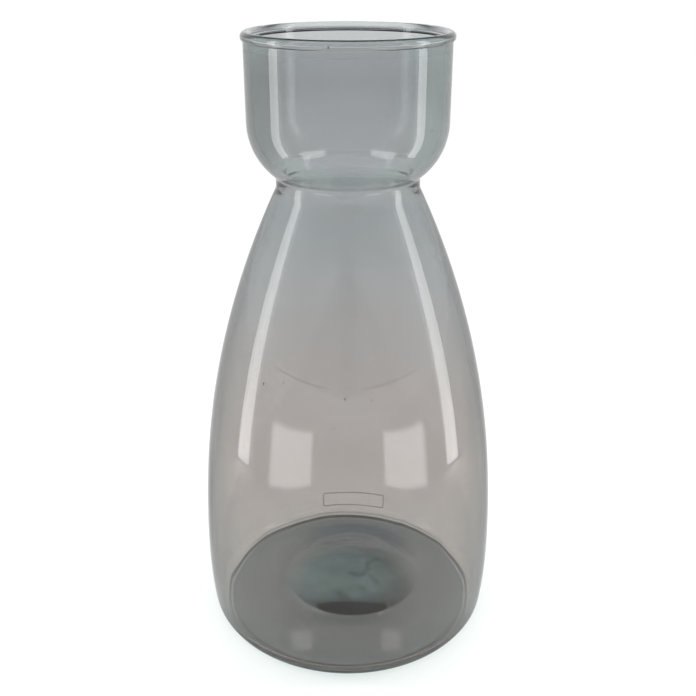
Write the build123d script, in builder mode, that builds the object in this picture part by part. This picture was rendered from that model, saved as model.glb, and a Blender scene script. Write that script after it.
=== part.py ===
from build123d import *

import os
from math import sqrt

# A tall bottle vase, one piece of glass: a full belly that narrows to a waist, with an open cup above it.
# Millimetres, +Z up, with the origin at the centre of the base on the plane that the vase stands on.
# The glass is drawn once, in section, and cut into zones that meet face to face.

# Outside of the body, from the base up
vase_height = 430.0
heel_radius = 15.0
heel_height = 24.0
belly_radius = 108.0
belly_height = 55.0
belly_under_curve = 350.0
belly_rise = 75.0
belly_over_curve = 780.0

# Waist between the body and the cup
neck_radius = 47.9
throat_length = 3.5
crease_radius = 6.0

# Cup
cup_radius = 66.0
bowl_depth = 38.1
cup_height = 49.4
bead_overhang = 1.6

# Glass
wall = 5.0
floor_height = 6.0
floor_corner_radius = 9.0

# Dome of spare glass on the floor, a little to one side and to the back, and clear of the foot ring
dome_clearance = 17.2
dome_height = 17.0
dome_blend = 2.0
dome_side = 3.5
dome_back = 14.0

# Underside
foot_width = 5.0
hollow_height = 2.5

# Heights that follow from those: up from the base, then down from the rim
foot_top = floor_height + floor_corner_radius / 4
belly_top = belly_height + belly_rise
bead_radius = (wall + bead_overhang) / 2
bead_height = vase_height - bead_radius
rim_bottom = bead_height - bead_radius
bowl_top = rim_bottom - cup_height
throat_top = bowl_top - bowl_depth
throat_bottom = throat_top - throat_length


def half_chord(radius, offset):
    """Half the chord that a circle of this radius leaves at this distance from its centre."""
    return sqrt(radius**2 - offset**2)


def easing_curve(start, normal, crease):
    """Radius of the arc that leaves start square to normal and runs smoothly into the crease's arc."""
    gap = start - crease
    return (gap.dot(gap) - crease_radius**2) / (2 * (gap.dot(normal) + crease_radius))


# The curves under and over the belly meet upright at its widest ring.
under_centre = Vector(belly_radius - belly_under_curve, belly_height)
over_centre = Vector(belly_radius - belly_over_curve, belly_height)
over_end = over_centre + Vector(half_chord(belly_over_curve, belly_rise), belly_rise)
over_normal = (over_end - over_centre).normalized()

# The waist is a short upright throat between two small creases, which ease into the shoulder and the bowl.
lower_crease = Vector(neck_radius + crease_radius, throat_bottom)
upper_crease = Vector(neck_radius + crease_radius, throat_top)
shoulder_curve = easing_curve(over_end, over_normal, lower_crease)
shoulder_centre = over_end - over_normal * shoulder_curve
bowl_curve = easing_curve(Vector(cup_radius, bowl_top), Vector(1, 0), upper_crease)
bowl_centre = Vector(cup_radius - bowl_curve, bowl_top)


def on_circle(centre, towards, radius):
    """The point of a circle that lies towards another point."""
    return centre + (towards - centre).normalized() * radius


def corner_centre(inset, level, radius):
    """Centre of the arc that joins a flat at this level to the side that is set in by inset."""
    rise = level + radius
    return Vector(under_centre.X + half_chord(belly_under_curve - inset - radius, rise - belly_height), rise)


def draw_side(inset, level, radius):
    """Draws the side from the flat at this level up to the bead, set in by inset from the outside."""
    corner = corner_centre(inset, level, radius)
    under_start = on_circle(under_centre, corner, belly_under_curve - inset)
    over_start = (belly_radius - inset, belly_height)
    shoulder_start = over_end - over_normal * inset
    shoulder_end = on_circle(shoulder_centre, lower_crease, shoulder_curve - inset)
    throat = neck_radius - inset
    bowl_start = on_circle(bowl_centre, upper_crease, bowl_curve - inset)
    bowl_end = (cup_radius - inset, bowl_top)
    RadiusArc((corner.X, level), under_start, -radius)
    RadiusArc(under_start, over_start, -(belly_under_curve - inset))
    RadiusArc(over_start, shoulder_start, -(belly_over_curve - inset))
    RadiusArc(shoulder_start, shoulder_end, -(shoulder_curve - inset))
    RadiusArc(shoulder_end, (throat, throat_bottom), crease_radius + inset)
    Line((throat, throat_bottom), (throat, throat_top))
    RadiusArc((throat, throat_top), bowl_start, crease_radius + inset)
    RadiusArc(bowl_start, bowl_end, -(bowl_curve - inset))
    Line(bowl_end, (cup_radius - inset, bead_height))


def draw_cap(radius, height):
    """Draws a cap of a ball in half section, from its top on the axis down to a flat foot of this radius."""
    RadiusArc((0, height), (radius, 0), (radius**2 + height**2) / (2 * height))
    Polyline((radius, 0), (0, 0), (0, height))


def raise_dome():
    """Adds the dome to the floor and eases its foot into it."""
    dome_foot = Plane((dome_side, dome_back, floor_height), x_dir=(1, 0, 0), z_dir=(0, -1, 0))
    with BuildSketch(dome_foot) as cap:
        with BuildLine():
            draw_cap(dome_radius, dome_height)
        make_face()
    revolve(cap.sketch, axis=Axis((dome_side, dome_back, 0), (0, 0, 1)))
    floor_edges = edges().filter_by(GeomType.CIRCLE).filter_by_position(Axis.Z, floor_height, floor_height)
    fillet(floor_edges.sort_by(SortBy.RADIUS)[0], dome_blend)


foot_radius = corner_centre(0, 0, heel_radius).X
foot_inner_radius = foot_radius - foot_width
dome_radius = foot_inner_radius - Vector(dome_side, dome_back).length - dome_clearance
floor_radius = corner_centre(wall, floor_height, floor_corner_radius).X

# The vase's glass in section, from its axis outwards
with BuildSketch(Plane.XZ) as glass:
    with BuildLine():
        draw_side(0, 0, heel_radius)
        Polyline((cup_radius, bead_height), (0, bead_height), (0, 0), (foot_radius, 0))
    make_face()
    with BuildLine():
        draw_side(wall, floor_height, floor_corner_radius)
        Line((cup_radius - wall, bead_height), (0, bead_height))
        Polyline((0, bead_height), (0, floor_height), (floor_radius, floor_height))
    make_face(mode=Mode.SUBTRACT)
    with BuildLine():
        draw_cap(foot_inner_radius, hollow_height)
    make_face(mode=Mode.SUBTRACT)
    with Locations((cup_radius - wall + bead_radius, bead_height)):
        Circle(bead_radius)

# Each zone is a window on that section: from radius, to radius, from height, to height.
# The long slope from the belly up to the neck is shared out evenly, so that each ring is nearly straight.
clear_radius = belly_radius + cup_radius
crease_reach = crease_radius + wall
neck_start = throat_bottom - crease_reach
neck_end = throat_top + crease_reach
slope_share = (neck_start - belly_top) / 3
flank_top = belly_top + slope_share
shoulder_top = flank_top + slope_share
zones = {
    "base": (0, foot_inner_radius, 0, heel_height),
    "foot": (foot_inner_radius, clear_radius, 0, foot_top),
    "heel": (foot_inner_radius, clear_radius, foot_top, heel_height),
    "lower_belly": (0, clear_radius, heel_height, belly_height),
    "belly": (0, clear_radius, belly_height, belly_top),
    "flank": (0, clear_radius, belly_top, flank_top),
    "shoulder": (0, clear_radius, flank_top, shoulder_top),
    "collar": (0, clear_radius, shoulder_top, neck_start),
    "neck": (0, clear_radius, neck_start, neck_end),
    "bowl": (0, clear_radius, neck_end, bowl_top),
    "cup": (0, clear_radius, bowl_top, rim_bottom),
    "rim": (0, clear_radius, rim_bottom, vase_height),
}

os.makedirs("parts", exist_ok=True)
for name, (inner, outer, low, high) in zones.items():
    with BuildPart() as zone:
        with BuildSketch(Plane.XZ):
            add(glass.sketch_local)
            with Locations((inner, low)):
                Rectangle(outer - inner, high - low, align=(Align.MIN, Align.MIN), mode=Mode.INTERSECT)
        revolve(axis=Axis.Z)
        if name == "base":
            raise_dome()
    zone.part.label = name
    export_step(zone.part, f"parts/{name}.step")
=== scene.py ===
from math import atan2, ceil, cos, exp, hypot, pi, radians, sin, sqrt
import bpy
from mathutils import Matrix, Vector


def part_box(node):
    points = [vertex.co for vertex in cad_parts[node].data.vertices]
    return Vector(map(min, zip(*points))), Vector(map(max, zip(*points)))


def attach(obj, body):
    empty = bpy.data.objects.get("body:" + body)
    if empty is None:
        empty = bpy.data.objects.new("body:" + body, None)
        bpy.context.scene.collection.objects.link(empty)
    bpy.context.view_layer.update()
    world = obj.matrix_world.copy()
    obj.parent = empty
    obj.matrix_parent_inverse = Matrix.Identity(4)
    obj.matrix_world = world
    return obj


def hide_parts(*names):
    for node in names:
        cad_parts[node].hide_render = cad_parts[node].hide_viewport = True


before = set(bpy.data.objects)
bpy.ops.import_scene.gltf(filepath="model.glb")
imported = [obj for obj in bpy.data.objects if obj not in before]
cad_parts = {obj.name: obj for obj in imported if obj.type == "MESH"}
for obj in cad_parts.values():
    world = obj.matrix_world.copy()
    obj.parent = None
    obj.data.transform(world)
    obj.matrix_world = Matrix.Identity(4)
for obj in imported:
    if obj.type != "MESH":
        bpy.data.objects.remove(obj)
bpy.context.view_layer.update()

from types import SimpleNamespace

import bmesh
import bpy
from mathutils import Vector, noise

# Sizes read from the frame
vase_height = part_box("rim")[1].z
belly_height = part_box("belly")[0].z
belly_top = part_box("belly")[1].z
belly_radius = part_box("belly")[1].x
bowl_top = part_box("cup")[0].z
rim_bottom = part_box("cup")[1].z
cup_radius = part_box("cup")[1].x
rim_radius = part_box("rim")[1].x

# Sizes that the frame's boxes don't show, as in the part's source
wall = 0.005
heel_radius = 0.015
belly_under_curve = 0.350
belly_over_curve = 0.780
neck_radius = 0.0479
throat_length = 0.0035
crease_radius = 0.006
bowl_depth = 0.0381
floor_corner_radius = 0.009
floor_top = 0.006
foot_width = 0.005
hollow_height = 0.0025
dome_radius = 0.054
dome_height = 0.017
dome_blend = 0.002
dome_shift = Vector((0.0035, 0.014))

# Where the glass is softer than the solids: at the foot of the bead, inside the throat and on the dome's slopes
bead_fillet = 0.0002
neck_inside_curve = 0.018
dome_back_fall = 0.5
dome_front_fall = 0.05

# Sizes that follow from those
throat_top = bowl_top - bowl_depth
throat_bottom = throat_top - throat_length
bead_radius = (vase_height - rim_bottom) / 2
bead_centre = Vector((rim_radius - bead_radius, vase_height - bead_radius))

# The floor is shifted with the dome, less and less over this width, out to this radius.
shift_fade = 0.028
shift_end = 0.088

# Waves that blowing left inside the wall, their lengths across and up, and the heights where they start and end
swell_depth = 0.00022
swell_lengths = (0.035, 0.09)
ripple_depth = 0.00005
ripple_lengths = (0.009, 0.06)
waves_start = (0.03, 0.07)
waves_end = (0.414, 0.422)

# Fine rings inside the cup: height, depth, width
cup_rings = [(0.4256, 0.00022, 0.0005), (0.4193, 0.00006, 0.0008)]

# Waves on the dome, how many to a metre, and the radii over which they die out
dome_swell_depth = 0.0004
dome_swell_rate = 90
dome_swell_fade = (0.030, 0.045)

# Shear scar on the dome, where the glass was cut from the iron, with its strokes across the floor
scar_depth = 0.0002
scar_width = 0.0018
scar_darkness = 0.55
scar_wrinkle = 0.0006
scar_wrinkle_rate = 900
scar_strokes = [
    [(0.0015, -0.0068), (0.0080, -0.0095), (0.0135, -0.0060), (0.0163, -0.0015), (0.0148, 0.0030), (0.0235, 0.0115)],
    [(0.0178, -0.0090), (0.0230, -0.0135)],
]

# The corner round the floor lies below this height and outside this radius.
corner_top = 0.012
corner_start = 0.085

# Notched crease in that corner, darkened with painted shade: its distance outside the floor's radius, more of it at
# the front, and its notches
floor_crease_depth = 0.00008
floor_crease_width = 0.0012
floor_crease_out = 0.0006
floor_crease_front_out = 0.0008
floor_crease_flatness = 1.5
floor_crease_side_darkness = 0.3
notch_rate = 420
notch_reach = 0.0005
notch_share = 0.6

# Painted shade in that corner, as dark lines: one at the back, and a broader one at the front
back_line_height = 0.00775
back_line_width = 0.0004
back_line_darkness = 0.5
front_line_radii = (0.0920, 0.0930)
front_line_heights = (0.0090, 0.0110)
front_line_darkness = 0.8

# How far round to the back or the front the corner's crease and painted shade start and are complete, 1 being right
# there
back_side = (0.2, 0.8)
front_side = (0.2, 0.9)

# Bare raised border low on the back: middle to the right of the back and up, half its size, and its ridge
border_side = 0.0054
border_height = 0.0176
border_half_width = 0.0292
border_half_height = 0.0062
border_corner = 0.0015
ridge_height = 0.0003
ridge_width = 0.00045

# Seeds, the small bubbles in the wall: degrees round from +X, height, radius
seed_stretch = 1.6
seed_darkness = 0.9
seeds = [
    (231.3, 0.2173, 0.0005),
    (268.7, 0.2158, 0.0005),
    (241.4, 0.2217, 0.0004),
    (279.7, 0.2146, 0.0004),
    (260.3, 0.4262, 0.0004),
    (18.0, 0.1500, 0.0005),
    (64.0, 0.2600, 0.0004),
    (97.0, 0.0900, 0.0005),
    (131.0, 0.3900, 0.0004),
    (166.0, 0.1850, 0.0005),
    (203.0, 0.0700, 0.0004),
    (322.0, 0.3750, 0.0005),
]

# Fineness of the glass mesh: steps along the section, columns round it, and where the finer ones are needed
longest_step = 0.005
under_step = 0.0025
heel_step = 0.0012
floor_corner_step = 0.0005
floor_crease_step = 0.0002
floor_crease_margin = 0.002
dome_step = 0.0012
cup_ring_step = 0.0003
lip_length = 0.012
finest_step = 0.00005
widest_turn = radians(6)
columns = 192
border_cuts = 7
border_margin_across = 0.004
border_margin_up = 0.002
border_lowest = 0.004
seed_fineness = 2

# Slack in comparing places, and in telling the outer face from the inner one
hair = 0.0001
on_axis = 0.000001
fully_coated = 0.99

# Colour sockets of a Mix node
mix_first, mix_second, mix_result = 6, 7, 2


class Value:
    """A shader value: arithmetic on it adds Math nodes."""

    def __init__(self, nodes, socket):
        self.nodes = nodes
        self.socket = socket

    def math(self, operation, *others):
        settings = {"operation": operation}
        return self.nodes.add("Math", settings, dict(enumerate((self, *others))))

    def __add__(self, other):
        return self.math("ADD", other)

    def __sub__(self, other):
        return self.math("SUBTRACT", other)

    def __rsub__(self, other):
        return (self * -1).math("ADD", other)

    def __mul__(self, other):
        return self.math("MULTIPLY", other)

    def __truediv__(self, other):
        return self.math("DIVIDE", other)

    __rmul__ = __mul__

    def smooth(self, low, high):
        """0 up to low, 1 from high on, eased between them."""
        settings = {"interpolation_type": "SMOOTHSTEP"}
        return self.nodes.add("MapRange", settings, {"Value": self, "From Min": low, "From Max": high})

    def away(self, level, near, far):
        """0 within near of a level, 1 from far on, eased between them."""
        return (self - level).math("ABSOLUTE").smooth(near, far)


class Nodes:
    """Builds the shader nodes of a material, of a lamp or of the world."""

    def __init__(self, owner):
        owner.use_nodes = True
        self.kind = next(k for k in ("Material", "World", "Light") if isinstance(owner, getattr(bpy.types, k)))
        self.tree = owner.node_tree
        self.tree.nodes.clear()

    def add(self, kind, settings, sockets, output=0):
        """Adds a node, and gives the value of one of its outputs."""
        node = self.tree.nodes.new("ShaderNode" + kind)
        for name, value in settings.items():
            setattr(node, name, value)
        for name, value in sockets.items():
            if isinstance(value, Value):
                self.tree.links.new(value.socket, node.inputs[name])
            else:
                node.inputs[name].default_value = value
        return None if output is None else Value(self, node.outputs[output])

    def mix(self, factor, first, second):
        """Goes from the first colour to the second as factor goes from 0 to 1."""
        sockets = {"Factor": factor, mix_first: first, mix_second: second}
        return self.add("Mix", {"data_type": "RGBA"}, sockets, mix_result)

    def parts(self, vector):
        """The three numbers of a vector."""
        first = self.add("SeparateXYZ", {}, {"Vector": vector})
        return [Value(self, socket) for socket in first.socket.node.outputs]

    def spread(self, across, along):
        """How far a place lies from the middle."""
        return (across * across + along * along).math("SQRT")

    def ray(self, name):
        return self.add("LightPath", {}, {}, name)

    def output(self, **shaders):
        self.add("Output" + self.kind, {}, shaders, None)


def on_circle(centre, towards, radius):
    return centre + (towards - centre).normalized() * radius


def half_chord(radius, offset):
    return sqrt(radius**2 - offset**2)


def easing_curve(start, normal, crease):
    """Radius of the arc that leaves start square to normal and runs smoothly into the crease's arc."""
    gap = start - crease
    return (gap.dot(gap) - crease_radius**2) / (2 * (gap.dot(normal) + crease_radius))


def circles_meet(first, first_radius, second, second_radius):
    """The outer one of the two points where two circles meet, the second above the first."""
    gap = second - first
    along = (first_radius**2 - second_radius**2 + gap.dot(gap)) / (2 * gap.length)
    way = gap.normalized()
    return first + way * along + Vector((way.y, -way.x)) * half_chord(first_radius, along)


def ease(value, low, high):
    """0 up to low, 1 from high on, eased between them."""
    share = min(1, max(0, (value - low) / (high - low)))
    return share * share * (3 - 2 * share)


def bump(distance, width):
    """1 at no distance, falling off to nothing beyond twice the width."""
    return exp(-((distance / width) ** 2))


def waves(at, across, up):
    """Smooth noise, with waves of about these lengths across and up."""
    return noise.noise(Vector((at.x / across, at.y / across, at.z / up)))


def arc(centre, start, end, step=longest_step):
    """Points from start along the shorter arc round centre, without its end."""
    a, b = (atan2(p.y - centre.y, p.x - centre.x) for p in (start, end))
    turn = (b - a + pi) % (2 * pi) - pi
    radius = (start - centre).length
    length = radius * abs(turn)
    steps = max(ceil(abs(turn) / widest_turn), ceil(length / step))
    steps = max(2, min(steps, ceil(length / finest_step)))
    spokes = [a + turn * i / steps for i in range(steps)]
    return [centre + radius * Vector((cos(s), sin(s))) for s in spokes]


def line(start, end, step=longest_step):
    """Points from start along a straight line, without its end."""
    steps = max(1, ceil((end - start).length / step))
    return [start.lerp(end, i / steps) for i in range(steps)]


# The curves of the side, each a circle in the section with radius and height as its axes
under_centre = Vector((belly_radius - belly_under_curve, belly_height))
over_centre = Vector((belly_radius - belly_over_curve, belly_height))
over_end = Vector((over_centre.x + half_chord(belly_over_curve, belly_top - belly_height), belly_top))
over_normal = (over_end - over_centre).normalized()
lower_crease = Vector((neck_radius + crease_radius, throat_bottom))
upper_crease = Vector((neck_radius + crease_radius, throat_top))
shoulder_curve = easing_curve(over_end, over_normal, lower_crease)
shoulder_centre = over_end - over_normal * shoulder_curve
bowl_curve = easing_curve(Vector((cup_radius, bowl_top)), Vector((1, 0)), upper_crease)
bowl_centre = Vector((cup_radius - bowl_curve, bowl_top))
dome_reach = (dome_radius**2 + dome_height**2) / (2 * dome_height)
dome_centre = Vector((0, floor_top + dome_height - dome_reach))
blend_rise = floor_top + dome_blend - dome_centre.y
blend_centre = Vector((half_chord(dome_reach + dome_blend, blend_rise), floor_top + dome_blend))


def corner_centre(inset, level, radius):
    """Centre of the arc that joins a flat at this level to the side that is set in by inset."""
    rise = level + radius
    reach = half_chord(belly_under_curve - inset - radius, rise - belly_height)
    return Vector((under_centre.x + reach, rise))


floor_radius = corner_centre(wall, floor_top, floor_corner_radius).x


def outer_waist(shoulder_start, bowl_end):
    """Points from the shoulder over the two creases of the throat to the top of the bowl, on the outside."""
    shoulder_end = on_circle(shoulder_centre, lower_crease, shoulder_curve)
    throat_start = Vector((neck_radius, throat_bottom))
    throat_end = Vector((neck_radius, throat_top))
    bowl_start = on_circle(bowl_centre, upper_crease, bowl_curve)
    return (
        arc(shoulder_centre, shoulder_start, shoulder_end)
        + arc(lower_crease, shoulder_end, throat_start)
        + line(throat_start, throat_end)
        + arc(upper_crease, throat_end, bowl_start)
        + arc(bowl_centre, bowl_start, bowl_end)
    )


def inner_waist(shoulder_start, bowl_end):
    """Points from the shoulder round one soft curve to the top of the bowl, on the inside."""
    shoulder_reach = shoulder_curve - wall
    bowl_reach = bowl_curve - wall
    centre = circles_meet(
        shoulder_centre, shoulder_reach + neck_inside_curve, bowl_centre, bowl_reach + neck_inside_curve
    )
    start = on_circle(shoulder_centre, centre, shoulder_reach)
    end = on_circle(bowl_centre, centre, bowl_reach)
    return (
        arc(shoulder_centre, shoulder_start, start)
        + arc(centre, start, end)
        + arc(bowl_centre, end, bowl_end)
    )


def side(inset, level, radius, waist, cup_end, corner_step, lip_step):
    """Points up the side, from the flat at this level to cup_end, set in by inset from the outside."""
    corner = corner_centre(inset, level, radius)
    start = Vector((corner.x, level))
    under_start = on_circle(under_centre, corner, belly_under_curve - inset)
    over_start = Vector((belly_radius - inset, belly_height))
    shoulder_start = over_end - over_normal * inset
    bowl_end = Vector((cup_radius - inset, bowl_top))
    lip_start = cup_end - Vector((0, lip_length))
    return (
        arc(corner, start, under_start, corner_step)
        + arc(under_centre, under_start, over_start, under_step)
        + arc(over_centre, over_start, shoulder_start)
        + waist(shoulder_start, bowl_end)
        + line(bowl_end, lip_start)
        + line(lip_start, cup_end, lip_step)
    )


def dome():
    """Points from the axis over the dome in the middle of the floor, out to the flat around it."""
    top = Vector((0, floor_top + dome_height))
    foot = on_circle(dome_centre, blend_centre, dome_reach)
    end = Vector((blend_centre.x, floor_top))
    return arc(dome_centre, top, foot, dome_step) + arc(blend_centre, foot, end) + [end]


def outer_bead():
    """The end of the cup's outside, and the points round the rim's bead from there to its top."""
    reach = Vector((cup_radius + bead_fillet - bead_centre.x, 0))
    reach.y = -half_chord(bead_radius + bead_fillet, reach.x)
    fillet_centre = bead_centre + reach
    fillet_start = Vector((cup_radius, fillet_centre.y))
    start = bead_centre + reach.normalized() * bead_radius
    outer = bead_centre + Vector((bead_radius, 0))
    top = Vector((bead_centre.x, vase_height))
    around = arc(bead_centre, start, outer) + arc(bead_centre, outer, top) + [top]
    return fillet_start, arc(fillet_centre, fillet_start, start) + around


def outer_section():
    """Points up the outside in section, from the axis under the base to the top of the bead."""
    foot_radius = corner_centre(0, 0, heel_radius).x
    foot_inner = Vector((foot_radius - foot_width, 0))
    hollow_top = Vector((0, hollow_height))
    hollow_reach = (foot_inner.x**2 + hollow_height**2) / (2 * hollow_height)
    hollow_centre = Vector((0, hollow_height - hollow_reach))
    underside = arc(hollow_centre, hollow_top, foot_inner) + line(foot_inner, Vector((foot_radius, 0)))
    cup_end, rim = outer_bead()
    return underside + side(0, 0, heel_radius, outer_waist, cup_end, heel_step, longest_step) + rim


def inner_section():
    """Points up the inside in section, from the axis on top of the dome to the top of the bead."""
    middle = dome()
    crease_start = Vector((floor_radius - floor_crease_margin, floor_top))
    crease_end = Vector((floor_radius, floor_top))
    flat = line(middle.pop(), crease_start) + line(crease_start, crease_end, floor_crease_step)
    inner = bead_centre - Vector((bead_radius, 0))
    top = Vector((bead_centre.x, vase_height))
    up = side(wall, floor_top, floor_corner_radius, inner_waist, inner, floor_corner_step, cup_ring_step)
    return middle + flat + up + arc(bead_centre, inner, top)


def stroke_distance(spot, stroke):
    """How far a spot on the floor lies from a stroke of straight runs."""
    gaps = []
    for a, b in zip(stroke, stroke[1:]):
        start = Vector(a)
        run = Vector(b) - start
        share = min(1, max(0, (spot - start).dot(run) / run.dot(run)))
        gaps.append((spot - start - run * share).length)
    return min(gaps)


def settle_floor(at, radius):
    """Shifts a point of the floor or the dome, and lowers the dome's slopes to the back and the front."""
    fall = dome_back_fall * ease(at.y, 0, dome_radius) + dome_front_fall * ease(-at.y, 0, dome_radius)
    at.z -= fall * (at.z - floor_top)
    shift = dome_shift * min(1, (shift_end - radius) / shift_fade)
    at.x += shift.x
    at.y += shift.y


def mark_dome(at, radius):
    """Gives a point of the dome its waves and the scar, and tells how dark the scar is there."""
    spot = Vector((at.x, at.y, 0))
    wrinkle = noise.noise(at * scar_wrinkle_rate) * scar_wrinkle
    gap = min(stroke_distance(spot.xy, stroke) for stroke in scar_strokes)
    mark = bump(gap + wrinkle, scar_width)
    fade = 1 - ease(radius, *dome_swell_fade)
    at.z += dome_swell_depth * noise.noise(spot * dome_swell_rate) * fade - scar_depth * mark
    return scar_darkness * mark


def press_and_shade_corner(at, radius):
    """Presses the crease into a point of the corner round the floor, and tells how dark the painted shade in the
    corner is there.
    """
    height = at.z
    to_back = at.y / radius
    front = ease(-to_back, *front_side)
    notch = noise.noise(Vector((at.x, at.y, 0)) * notch_rate)
    crease = floor_radius + floor_crease_out + floor_crease_front_out * front + notch_reach * notch
    crease_shade = bump(radius - crease, floor_crease_width)
    at.z -= floor_crease_depth * (1 + notch_share * notch) * crease_shade
    # The crease's darkness is painted shade, and so are the dark lines at the back and the front
    crease_shade = min(1, floor_crease_flatness * crease_shade)
    crease_shade *= floor_crease_side_darkness + (1 - floor_crease_side_darkness) * to_back**2
    back_shade_line = bump(height - back_line_height, back_line_width) * ease(to_back, *back_side)
    front_shade_line = ease(radius, *front_line_radii) * (1 - ease(height, *front_line_heights)) * front
    return max(crease_shade, back_line_darkness * back_shade_line, front_line_darkness * front_shade_line)


def shape_inside(at, radius):
    """Moves a point of the inner face to where blowing left it, and tells how dark it is there, from 0 to 1: the
    scar's mark, and painted shade in the corner round the floor.

    radius is the point's distance from its ring's centre.
    """
    height = at.z
    mark = 0.0
    in_corner = height < corner_top and radius > corner_start
    if height < floor_top + dome_height + hair and radius < shift_end:
        settle_floor(at, radius)
    if radius < dome_swell_fade[1]:
        mark = mark_dome(at, radius)
    # In the corner round the floor, the mark is painted shade along the crease
    if in_corner:
        mark = press_and_shade_corner(at, radius)
    fade = ease(height, *waves_start) * (1 - ease(height, *waves_end))
    swell = swell_depth * waves(at, *swell_lengths) + ripple_depth * waves(at, *ripple_lengths)
    move = fade * swell + sum(depth * bump(height - ring, width) for ring, depth, width in cup_rings)
    if radius > 0:
        at.x *= 1 + move / radius
        at.y *= 1 + move / radius
    return mark


def heel_side_radius(height):
    """Radius of the outside at a height on the heel or under the belly."""
    corner = corner_centre(0, 0, heel_radius)
    if height < on_circle(under_centre, corner, belly_under_curve).y:
        return corner.x + half_chord(heel_radius, height - corner.y)
    return under_centre.x + half_chord(belly_under_curve, height - belly_height)


def raise_border(form, coating, marks_and_shade):
    """Raises the bare border on the back: finer faces there, then a ridge along its line."""
    def across(at):
        return belly_radius * atan2(at.x, at.y) - border_side

    def near(at):
        beside = abs(across(at)) < border_half_width + border_margin_across
        return beside and abs(at.z - border_height) < border_half_height + border_margin_up

    def outside(v):
        return v[coating] > fully_coated and v.co.z > border_lowest

    patch = [f for f in form.faces if all(outside(v) and near(v.co) for v in f.verts)]
    edges = list({e for f in patch for e in f.edges})
    bmesh.ops.subdivide_edges(form, edges=edges, cuts=border_cuts, use_grid_fill=True)
    for v in form.verts:
        if not (outside(v) and near(v.co)):
            continue
        over = abs(across(v.co)) - border_half_width + border_corner
        above = abs(v.co.z - border_height) - border_half_height + border_corner
        gap = hypot(max(over, 0), max(above, 0)) + min(max(over, above), 0) - border_corner
        v[marks_and_shade] = bump(gap, ridge_width)
        radius = heel_side_radius(v.co.z) + ridge_height * v[marks_and_shade]
        turn = atan2(v.co.y, v.co.x)
        v.co.x = radius * cos(turn)
        v.co.y = radius * sin(turn)


def add_seed(form, marks_and_shade, outer, turn, height, radius):
    """A small drawn-out bubble inside the wall, with its faces looking into it."""
    least_radius = neck_radius - hair
    skin = min((p for p in outer if p.x > least_radius), key=lambda p: abs(p.y - height))
    depth = skin.x - wall / 2
    middle = Vector((depth * cos(turn), depth * sin(turn), height))
    made = bmesh.ops.create_icosphere(form, subdivisions=seed_fineness, radius=radius)["verts"]
    for v in made:
        v.co = middle + Vector((v.co.x, v.co.y, seed_stretch * v.co.z))
        v[marks_and_shade] = seed_darkness
    faces = list({f for v in made for f in v.link_faces})
    bmesh.ops.reverse_faces(form, faces=faces)
    for f in faces:
        f.smooth = True


def glass_body():
    """The vase's glass: its section turned round the axis, with what the making left on it and painted shade in the
    corner round its floor.
    """
    form = bmesh.new()
    coating = form.verts.layers.float.new("coating")
    marks_and_shade = form.verts.layers.float.new("marks_and_shade")
    outer = outer_section()
    inner = inner_section()[::-1]
    angles = [2 * pi * k / columns for k in range(columns)]
    rings = []
    for p in outer + inner:
        inside = len(rings) >= len(outer)
        ring = [Vector((p.x * cos(a), p.x * sin(a), p.y)) for a in angles]
        if p.x < on_axis:
            ring = ring[:1]
        ring_marks_and_shade = [shape_inside(at, p.x) if inside else 0.0 for at in ring]
        made = [form.verts.new(at) for at in ring]
        for v, mark in zip(made, ring_marks_and_shade):
            v[coating] = 0.0 if inside else 1.0
            v[marks_and_shade] = mark
        rings.append(made * (columns // len(made)))
    for low, high in zip(rings, rings[1:]):
        for k in range(columns):
            corners = [low[k - 1], low[k], high[k], high[k - 1]]
            face = form.faces.new(list(dict.fromkeys(corners)))
            face.smooth = True
    raise_border(form, coating, marks_and_shade)
    for turn, height, radius in seeds:
        add_seed(form, marks_and_shade, outer, radians(turn), height, radius)
    mesh = bpy.data.meshes.new("glass_body")
    form.to_mesh(mesh)
    form.free()
    body = bpy.data.objects.new("glass_body", mesh)
    bpy.context.scene.collection.objects.link(body)
    return body


def grey(level):
    return (level, level, level, 1)


# Looks. A pair of numbers is where a change starts and where it is complete: heights, distances from a height,
# places across or along the vase, radii, or how far the glass turns from view. A share is how much of a tint is
# mixed in.

# Tint up the side
low_belly_tint = (0.560, 0.475, 0.455, 1)
belly_tint = (0.495, 0.412, 0.392, 1)
belly_start = (0.020, 0.060)
slope_tint = (0.440, 0.434, 0.455, 1)
slope_start = (0.14, 0.30)
neck_tint = (0.390, 0.396, 0.414, 1)
neck_middle = 0.312
neck_end = (0.006, 0.026)
cup_tint = (0.330, 0.334, 0.356, 1)
cup_start = (0.368, 0.395)
lip_tint = (0.46, 0.47, 0.485, 1)
lip_tint_start = (0.404, 0.423)
lip_share = 0.5
bead_tint = (0.54, 0.55, 0.575, 1)
bead_start = (0.4264, 0.4268)

# Faint warm clouds, and painted shade darkening the left of the cup
cloud_tint = (0.50, 0.37, 0.37, 1)
cloud_rate = 24.0
cloud_detail = 2.0
cloud_start = (0.40, 0.70)
cloud_share = 0.15
left_cup_shade_tint = (0.05, 0.020, 0.020, 1)
left_cup_side = (0.042, 0.056)
left_cup_bottom = (0.335, 0.350)
left_cup_shade_share = 0.45

# Painted shade along the bead, as dark lines: under it all round, closer under it at the back, and on its top
bead_foot_shade_tint = (0.13, 0.128, 0.134, 1)
bead_foot_height = 0.4252
bead_foot_end = (0.0009, 0.0015)
back_foot_shade_tint = grey(0.003)
back_foot_height = 0.4255
back_foot_end = (0.0006, 0.0010)
back_foot_start = (0.01, 0.05)
bead_top_shade_tint = grey(0.02)
bead_top_start = (0.4290, 0.4294)
bead_top_turn = (0.15, 0.38)

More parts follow.
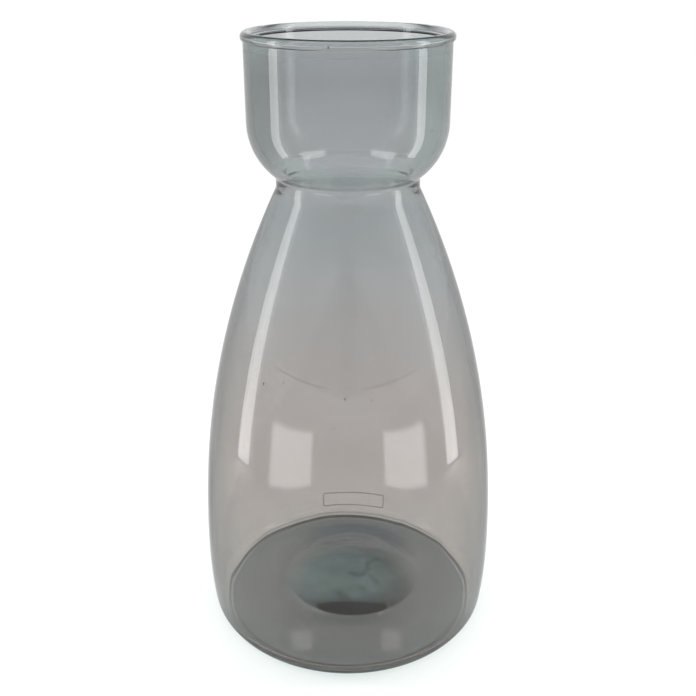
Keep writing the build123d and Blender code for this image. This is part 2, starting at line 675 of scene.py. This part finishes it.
# Faint sagging streak in the front of the body, with a gap in its middle
streak_tint = (0.05, 0.04, 0.03, 1)
streak_height = 0.2225
streak_sag = 4.1
streak_edge = (0.0003, 0.0013)
streak_back = (-0.06, -0.04)
streak_middle = -0.002
streak_gap = (0.010, 0.016)
streak_end = (0.040, 0.050)
streak_share = 0.17

# Tint under the base, the skin's own tint darkened with painted shade for the shadowed floor seen through it: from
# its middle to its sides, and the ring round it
middle_shade_tint = (0.124, 0.108, 0.117, 1)
sides_shade_tint = (0.180, 0.156, 0.166, 1)
sides_start = (0.030, 0.075)
ring_shade_tint = (0.160, 0.146, 0.158, 1)
ring_start = (0.082, 0.088)
ring_share = 0.6

# Patches there, painted shade behind the dome and before it, and painted light below it: tint, middle, half its
# size, and the shares where it fades
base_shade_patches = [
    ((0.035, 0.042, 0.058, 1), (0.008, 0.057), (0.050, 0.044), (0.5, 1.15)),
    ((0.070, 0.068, 0.068, 1), (0, -0.040), (0.040, 0.012), (0.3, 1.2)),
    ((0.268, 0.303, 0.343, 1), (-0.007, 0), (0.043, 0.035), (0.45, 1.15)),
]

# The heel, where the side's tint starts, with a dark seam round its foot deepened with painted contact shade, and
# painted shade over its front
heel_start = (0.0930, 0.0960)
heel_bottom = (0.010, 0.012)
seam_and_shade_tint = (0.05, 0.045, 0.045, 1)
seam_height = 0.0017
seam_edge = (0.0005, 0.0009)
seam_start = (0.0925, 0.0935)
front_heel_shade_tint = (0.100, 0.067, 0.063, 1)
front_heel_side = (0.15, 0.85)
front_heel_start = (0.093, 0.097)
front_heel_top = (0.006, 0.0085)

# Where the glass turns from view: painted light making the sides of the cup paler, and dark edges, partly the longer
# way through the tinted skin and partly painted shade, broader low down and weaker on the cup
facing_blend = 0.5
cup_side_light_tint = (0.330, 0.375, 0.360, 1)
cup_side_turn = (0.05, 0.50)
cup_side_bottom = (0.33, 0.36)
cup_side_top = (0.4235, 0.4245)
cup_side_light_share = 0.6
edge_shade_tint = (0.02, 0.022, 0.021, 1)
edge_turn = (0.40, 0.90)
low_edge_turn = (0.30, 0.80)
low_edge_top = (0.015, 0.060)
cup_edge_loss = 0.45

# The glass itself, its sharp marks and the painted shade in the corner round the floor, and what soft light keeps in
# passing through a face of it
glass_index = 1.5
glass_colour = (0.735, 0.813, 0.795, 1)
glass_density = 100.0
mark_and_shade_tint = (0.02, 0.018, 0.018, 1)
clear = grey(1)
soft_light_tint = grey(0.965)


def streak(at):
    """Where the streak lies, from 0 to 1."""
    mark = 1 - (at.height - at.x * at.x * streak_sag).away(streak_height, *streak_edge)
    across = (at.x - streak_middle).math("ABSOLUTE")
    mark = mark * (1 - at.y.smooth(*streak_back))
    return mark * across.smooth(*streak_gap) * (1 - across.smooth(*streak_end))


def side_tint(nodes, at):
    """The tint up the side, from the belly to the bead."""
    tint = nodes.mix(at.height.smooth(*slope_start), belly_tint, slope_tint)
    tint = nodes.mix(at.height.smooth(*cup_start), tint, cup_tint)
    cloud = nodes.add("TexNoise", {}, {"Vector": at.place, "Scale": cloud_rate, "Detail": cloud_detail})
    tint = nodes.mix(cloud.smooth(*cloud_start) * cloud_share, tint, cloud_tint)
    # Painted shade on the left of the cup
    left_cup_shade = (-1 * at.x).smooth(*left_cup_side) * at.height.smooth(*left_cup_bottom)
    tint = nodes.mix(left_cup_shade * left_cup_shade_share, tint, left_cup_shade_tint)
    tint = nodes.mix(at.height.away(neck_middle, *neck_end), neck_tint, tint)
    tint = nodes.mix(at.height.smooth(*lip_tint_start) * lip_share, tint, lip_tint)
    tint = nodes.mix(at.height.smooth(*bead_start), tint, bead_tint)
    # Painted shade as dark lines under the bead, closer under it at the back, and on its top
    tint = nodes.mix(at.height.away(bead_foot_height, *bead_foot_end), bead_foot_shade_tint, tint)
    back_foot_shade = (1 - at.height.away(back_foot_height, *back_foot_end)) * at.y.smooth(*back_foot_start)
    tint = nodes.mix(back_foot_shade, tint, back_foot_shade_tint)
    bead_top_shade = at.height.smooth(*bead_top_start) * at.facing.smooth(*bead_top_turn)
    tint = nodes.mix(bead_top_shade, tint, bead_top_shade_tint)
    tint = nodes.mix(streak(at) * streak_share, tint, streak_tint)
    return nodes.mix(at.height.smooth(*belly_start), low_belly_tint, tint)


def base_shade(nodes, at):
    """The tint under the base, with painted shade for the shadowed floor seen through it: darker in the middle,
    darkest towards the back, and painted paler under the dome.
    """
    tint = nodes.mix(at.x.math("ABSOLUTE").smooth(*sides_start), middle_shade_tint, sides_shade_tint)
    # Painted shade behind the dome and before it, and a paler patch of painted light under it
    for patch_shade_tint, middle, reach, fade in base_shade_patches:
        gap = nodes.spread((at.x - middle[0]) / reach[0], (at.y - middle[1]) / reach[1])
        tint = nodes.mix(gap.smooth(*fade), patch_shade_tint, tint)
    return nodes.mix(at.radius.smooth(*ring_start) * ring_share, tint, ring_shade_tint)


def heel_seam_and_shade(nodes, at, tint):
    """The tint with the heel's seam deepened with painted contact shade, and painted shade over its front."""
    # A dark line at the foot of the heel: its seam, deepened with painted contact shade
    seam_and_shade = at.height.away(seam_height, *seam_edge).math("MAXIMUM", 1 - at.radius.smooth(*seam_start))
    tint = nodes.mix(seam_and_shade, seam_and_shade_tint, tint)
    # Painted shade over the front of the heel
    front = (-1 * at.y / at.radius).smooth(*front_heel_side) * at.radius.smooth(*front_heel_start)
    return nodes.mix(front * (1 - at.height.smooth(*front_heel_top)), tint, front_heel_shade_tint)


def turned_light_and_shade(nodes, at, tint):
    """The tint with painted light and shade where the glass turns from view: paler sides of the cup, and dark edges,
    partly from the longer way through the tinted skin.
    """
    # Painted light, making the sides of the cup paler
    on_cup = at.height.smooth(*cup_side_bottom)
    cup_side_light = at.facing.smooth(*cup_side_turn) * (on_cup - at.height.smooth(*cup_side_top))
    tint = nodes.mix(cup_side_light * cup_side_light_share, tint, cup_side_light_tint)
    # Dark edges: partly the longer way through the tinted skin, partly painted shade
    low_edge = at.facing.smooth(*low_edge_turn) * (1 - at.height.smooth(*low_edge_top))
    edge = at.facing.smooth(*edge_turn).math("MAXIMUM", low_edge)
    return nodes.mix(edge * (1 - cup_edge_loss * on_cup), tint, edge_shade_tint)


def tinted_glass():
    """Clear glass, cool at the cup and a little warm at the belly. Lamps and soft light pass straight through it."""
    material = bpy.data.materials.new("tinted_glass")
    nodes = Nodes(material)
    place = nodes.add("TexCoord", {}, {}, "Object")
    x, y, height = nodes.parts(place)
    facing = nodes.add("LayerWeight", {}, {"Blend": facing_blend}, "Facing")
    at = SimpleNamespace(place=place, x=x, y=y, height=height, radius=nodes.spread(x, y), facing=facing)
    on_side = at.radius.smooth(*heel_start).math("MAXIMUM", at.height.smooth(*heel_bottom))
    tint = nodes.mix(on_side, base_shade(nodes, at), side_tint(nodes, at))
    tint = turned_light_and_shade(nodes, at, heel_seam_and_shade(nodes, at, tint))

    # The inside is clear. What is sharply marked is darker, on both sides, and so is the painted shade in the corner
    # round the floor.
    coated = nodes.add("Attribute", {"attribute_name": "coating"}, {}, "Fac")
    marked_and_shaded = nodes.add("Attribute", {"attribute_name": "marks_and_shade"}, {}, "Fac")
    tint = nodes.mix(coated, clear, tint)
    # Marks darken the tint, and so does the painted shade in the corner round the floor
    tint = nodes.mix(marked_and_shaded, tint, mark_and_shade_tint)
    glass = nodes.add(
        "BsdfPrincipled",
        {},
        {"Base Color": tint, "Roughness": 0.0, "IOR": glass_index, "Transmission Weight": 1.0},
    )
    open_way = nodes.add("BsdfTransparent", {}, {"Color": soft_light_tint})
    depth = nodes.add("VolumeAbsorption", {}, {"Color": glass_colour, "Density": glass_density})
    soft = nodes.ray("Is Shadow Ray").math("MAXIMUM", nodes.ray("Is Diffuse Ray"))
    surface = nodes.add("MixShader", {}, {0: soft, 1: glass, 2: open_way})
    nodes.output(Surface=surface, Volume=depth)
    return material


# Pale floor, a hair below the vase: its size, its paper, how much it is lifted to white, and its paper in mirrors
pale_floor_radius = 4
pale_floor_sides = 96
pale_floor_drop = 0.0002
paper_shade = grey(0.88)
paper_lift = 0.15
mirrored_paper_shade = grey(0.77)

# Studio: the rise of the ceiling in degrees, the ways that its front takes up, and how bright each is in reflections
ceiling_rise = (22, 40)
ceiling_shade = grey(0.06)
front_along = (-0.70, -0.25)
front_rise = (0.012, 0.045)
front_shade = grey(0.62)
front_middle = (0.10, 0.17)
front_middle_shade = grey(0.38)

# Lamps on the right, and mirrored on the left: place, the point it faces, width, height, radiance and soft edge
lamps = {
    "fill": ((0.51, -0.068, 0.3825), (0, -0.068, 0.3825), 0.109, 0.760, 3.6, None),
    "strip": ((0.50, -0.068, 0.3825), (0, -0.068, 0.3825), 0.107, 0.745, 3.6, 0.002),
    "panel": ((0.2855, -0.352, 0.0925), (-0.162, -0.130, 0.0925), 0.300, 0.125, 2.9, 0.12),
    "spot": ((0.122, 1.048, 1.0), (0, 0.03, 0.02), 0.085, 0.065, 4.0, 0.3),
}

# Camera: focal length and picture in pixels, sensor in millimetres, place, and degrees that it looks down
camera_focal = 927.4
camera_picture = 696
camera_sensor = 36
camera_nearest = 0.01
camera_place = (0, -0.6099, 0.4830)
camera_pitch = 23.91


def pale_floor():
    """A wide pale floor, white to the camera and through the glass, which keeps the vase's shadow."""
    bpy.ops.mesh.primitive_circle_add(
        vertices=pale_floor_sides, radius=pale_floor_radius, fill_type="NGON", location=(0, 0, -pale_floor_drop)
    )
    floor = bpy.context.object
    floor.name = "pale_floor"
    material = bpy.data.materials.new("pale_floor")
    nodes = Nodes(material)
    paper = nodes.add("BsdfDiffuse", {}, {"Color": paper_shade})
    seen = nodes.ray("Is Camera Ray").math("MAXIMUM", nodes.ray("Is Transmission Ray"))
    white = nodes.add("Emission", {}, {"Color": grey(1), "Strength": paper_lift})
    lifted = nodes.add("AddShader", {}, {0: paper, 1: white})
    shown = nodes.add("MixShader", {}, {0: seen, 1: paper, 2: lifted})
    dim_paper = nodes.add("BsdfDiffuse", {}, {"Color": mirrored_paper_shade})
    mirrored = nodes.ray("Is Glossy Ray") * (1 - nodes.ray("Is Transmission Ray"))
    nodes.output(Surface=nodes.add("MixShader", {}, {0: mirrored, 1: shown, 2: dim_paper}))
    floor.data.materials.append(material)


def studio_world():
    """White all round up to a height, with a dim ceiling above and the studio's dimmer front in reflections."""
    world = bpy.data.worlds.new("studio")
    bpy.context.scene.world = world
    nodes = Nodes(world)
    way = nodes.add("TexCoord", {}, {}, "Generated")
    x, y, rise = nodes.parts(way)
    ceiling = rise.smooth(*(sin(radians(turn)) for turn in ceiling_rise))
    front = (1 - y.smooth(*front_along)) * rise.smooth(*front_rise)
    middle = (1 - x.math("ABSOLUTE").smooth(*front_middle)) * front
    seen = nodes.ray("Is Glossy Ray").math("MAXIMUM", nodes.ray("Is Transmission Ray"))
    shade = nodes.mix(front * seen, grey(1), front_shade)
    shade = nodes.mix(middle * seen, shade, front_middle_shade)
    shade = nodes.mix(ceiling * seen, shade, ceiling_shade)
    light = nodes.add("Background", {}, {"Color": shade, "Strength": 1.0})
    nodes.output(Surface=light)


def lamp(name, place, towards, width, height, radiance, edge):
    """A rectangular lamp of this radiance, facing a point.

    With an edge, the share of its size over which it fades, it shows only in reflections. With None, it only lights
    the floor.
    """
    light = bpy.data.lights.new(name, "AREA")
    light.shape = "RECTANGLE"
    light.size = width
    light.size_y = height
    light.energy = radiance * pi * width * height
    if edge:
        nodes = Nodes(light)
        u, v, _ = nodes.parts(nodes.add("NewGeometry", {}, {}, "Parametric"))
        glow = u.smooth(0, edge) * v.smooth(0, edge) * (1 - u).smooth(0, edge) * (1 - v).smooth(0, edge)
        mirrored = nodes.ray("Glossy Depth").math("MINIMUM", 1)
        nodes.output(Surface=nodes.add("Emission", {}, {"Strength": glow * mirrored}))
    lamp_object = bpy.data.objects.new(name, light)
    lamp_object.location = place
    lamp_object.rotation_euler = (Vector(towards) - Vector(place)).to_track_quat("-Z", "Y").to_euler()
    lamp_object.visible_camera = False
    lamp_object.visible_diffuse = not edge
    lamp_object.visible_glossy = bool(edge)
    lamp_object.visible_transmission = bool(edge)
    bpy.context.scene.collection.objects.link(lamp_object)


def camera():
    """The camera, as fitted to the photograph."""
    lens = bpy.data.cameras.new("camera")
    lens.sensor_width = camera_sensor
    lens.lens = camera_sensor * camera_focal / camera_picture
    lens.clip_start = camera_nearest
    view = bpy.data.objects.new("camera", lens)
    view.location = camera_place
    view.rotation_euler = (radians(90 - camera_pitch), 0, 0)
    bpy.context.scene.collection.objects.link(view)
    bpy.context.scene.camera = view


body = glass_body()
body.data.materials.append(tinted_glass())
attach(body, "root")
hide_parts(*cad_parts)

pale_floor()
studio_world()
for name, way in (("left", -1), ("right", 1)):
    for kind, (place, towards, *look) in lamps.items():
        lamp(f"{name}_{kind}", (way * place[0], *place[1:]), (way * towards[0], *towards[1:]), *look)
camera()
bpy.context.scene.view_settings.view_transform = "Standard"
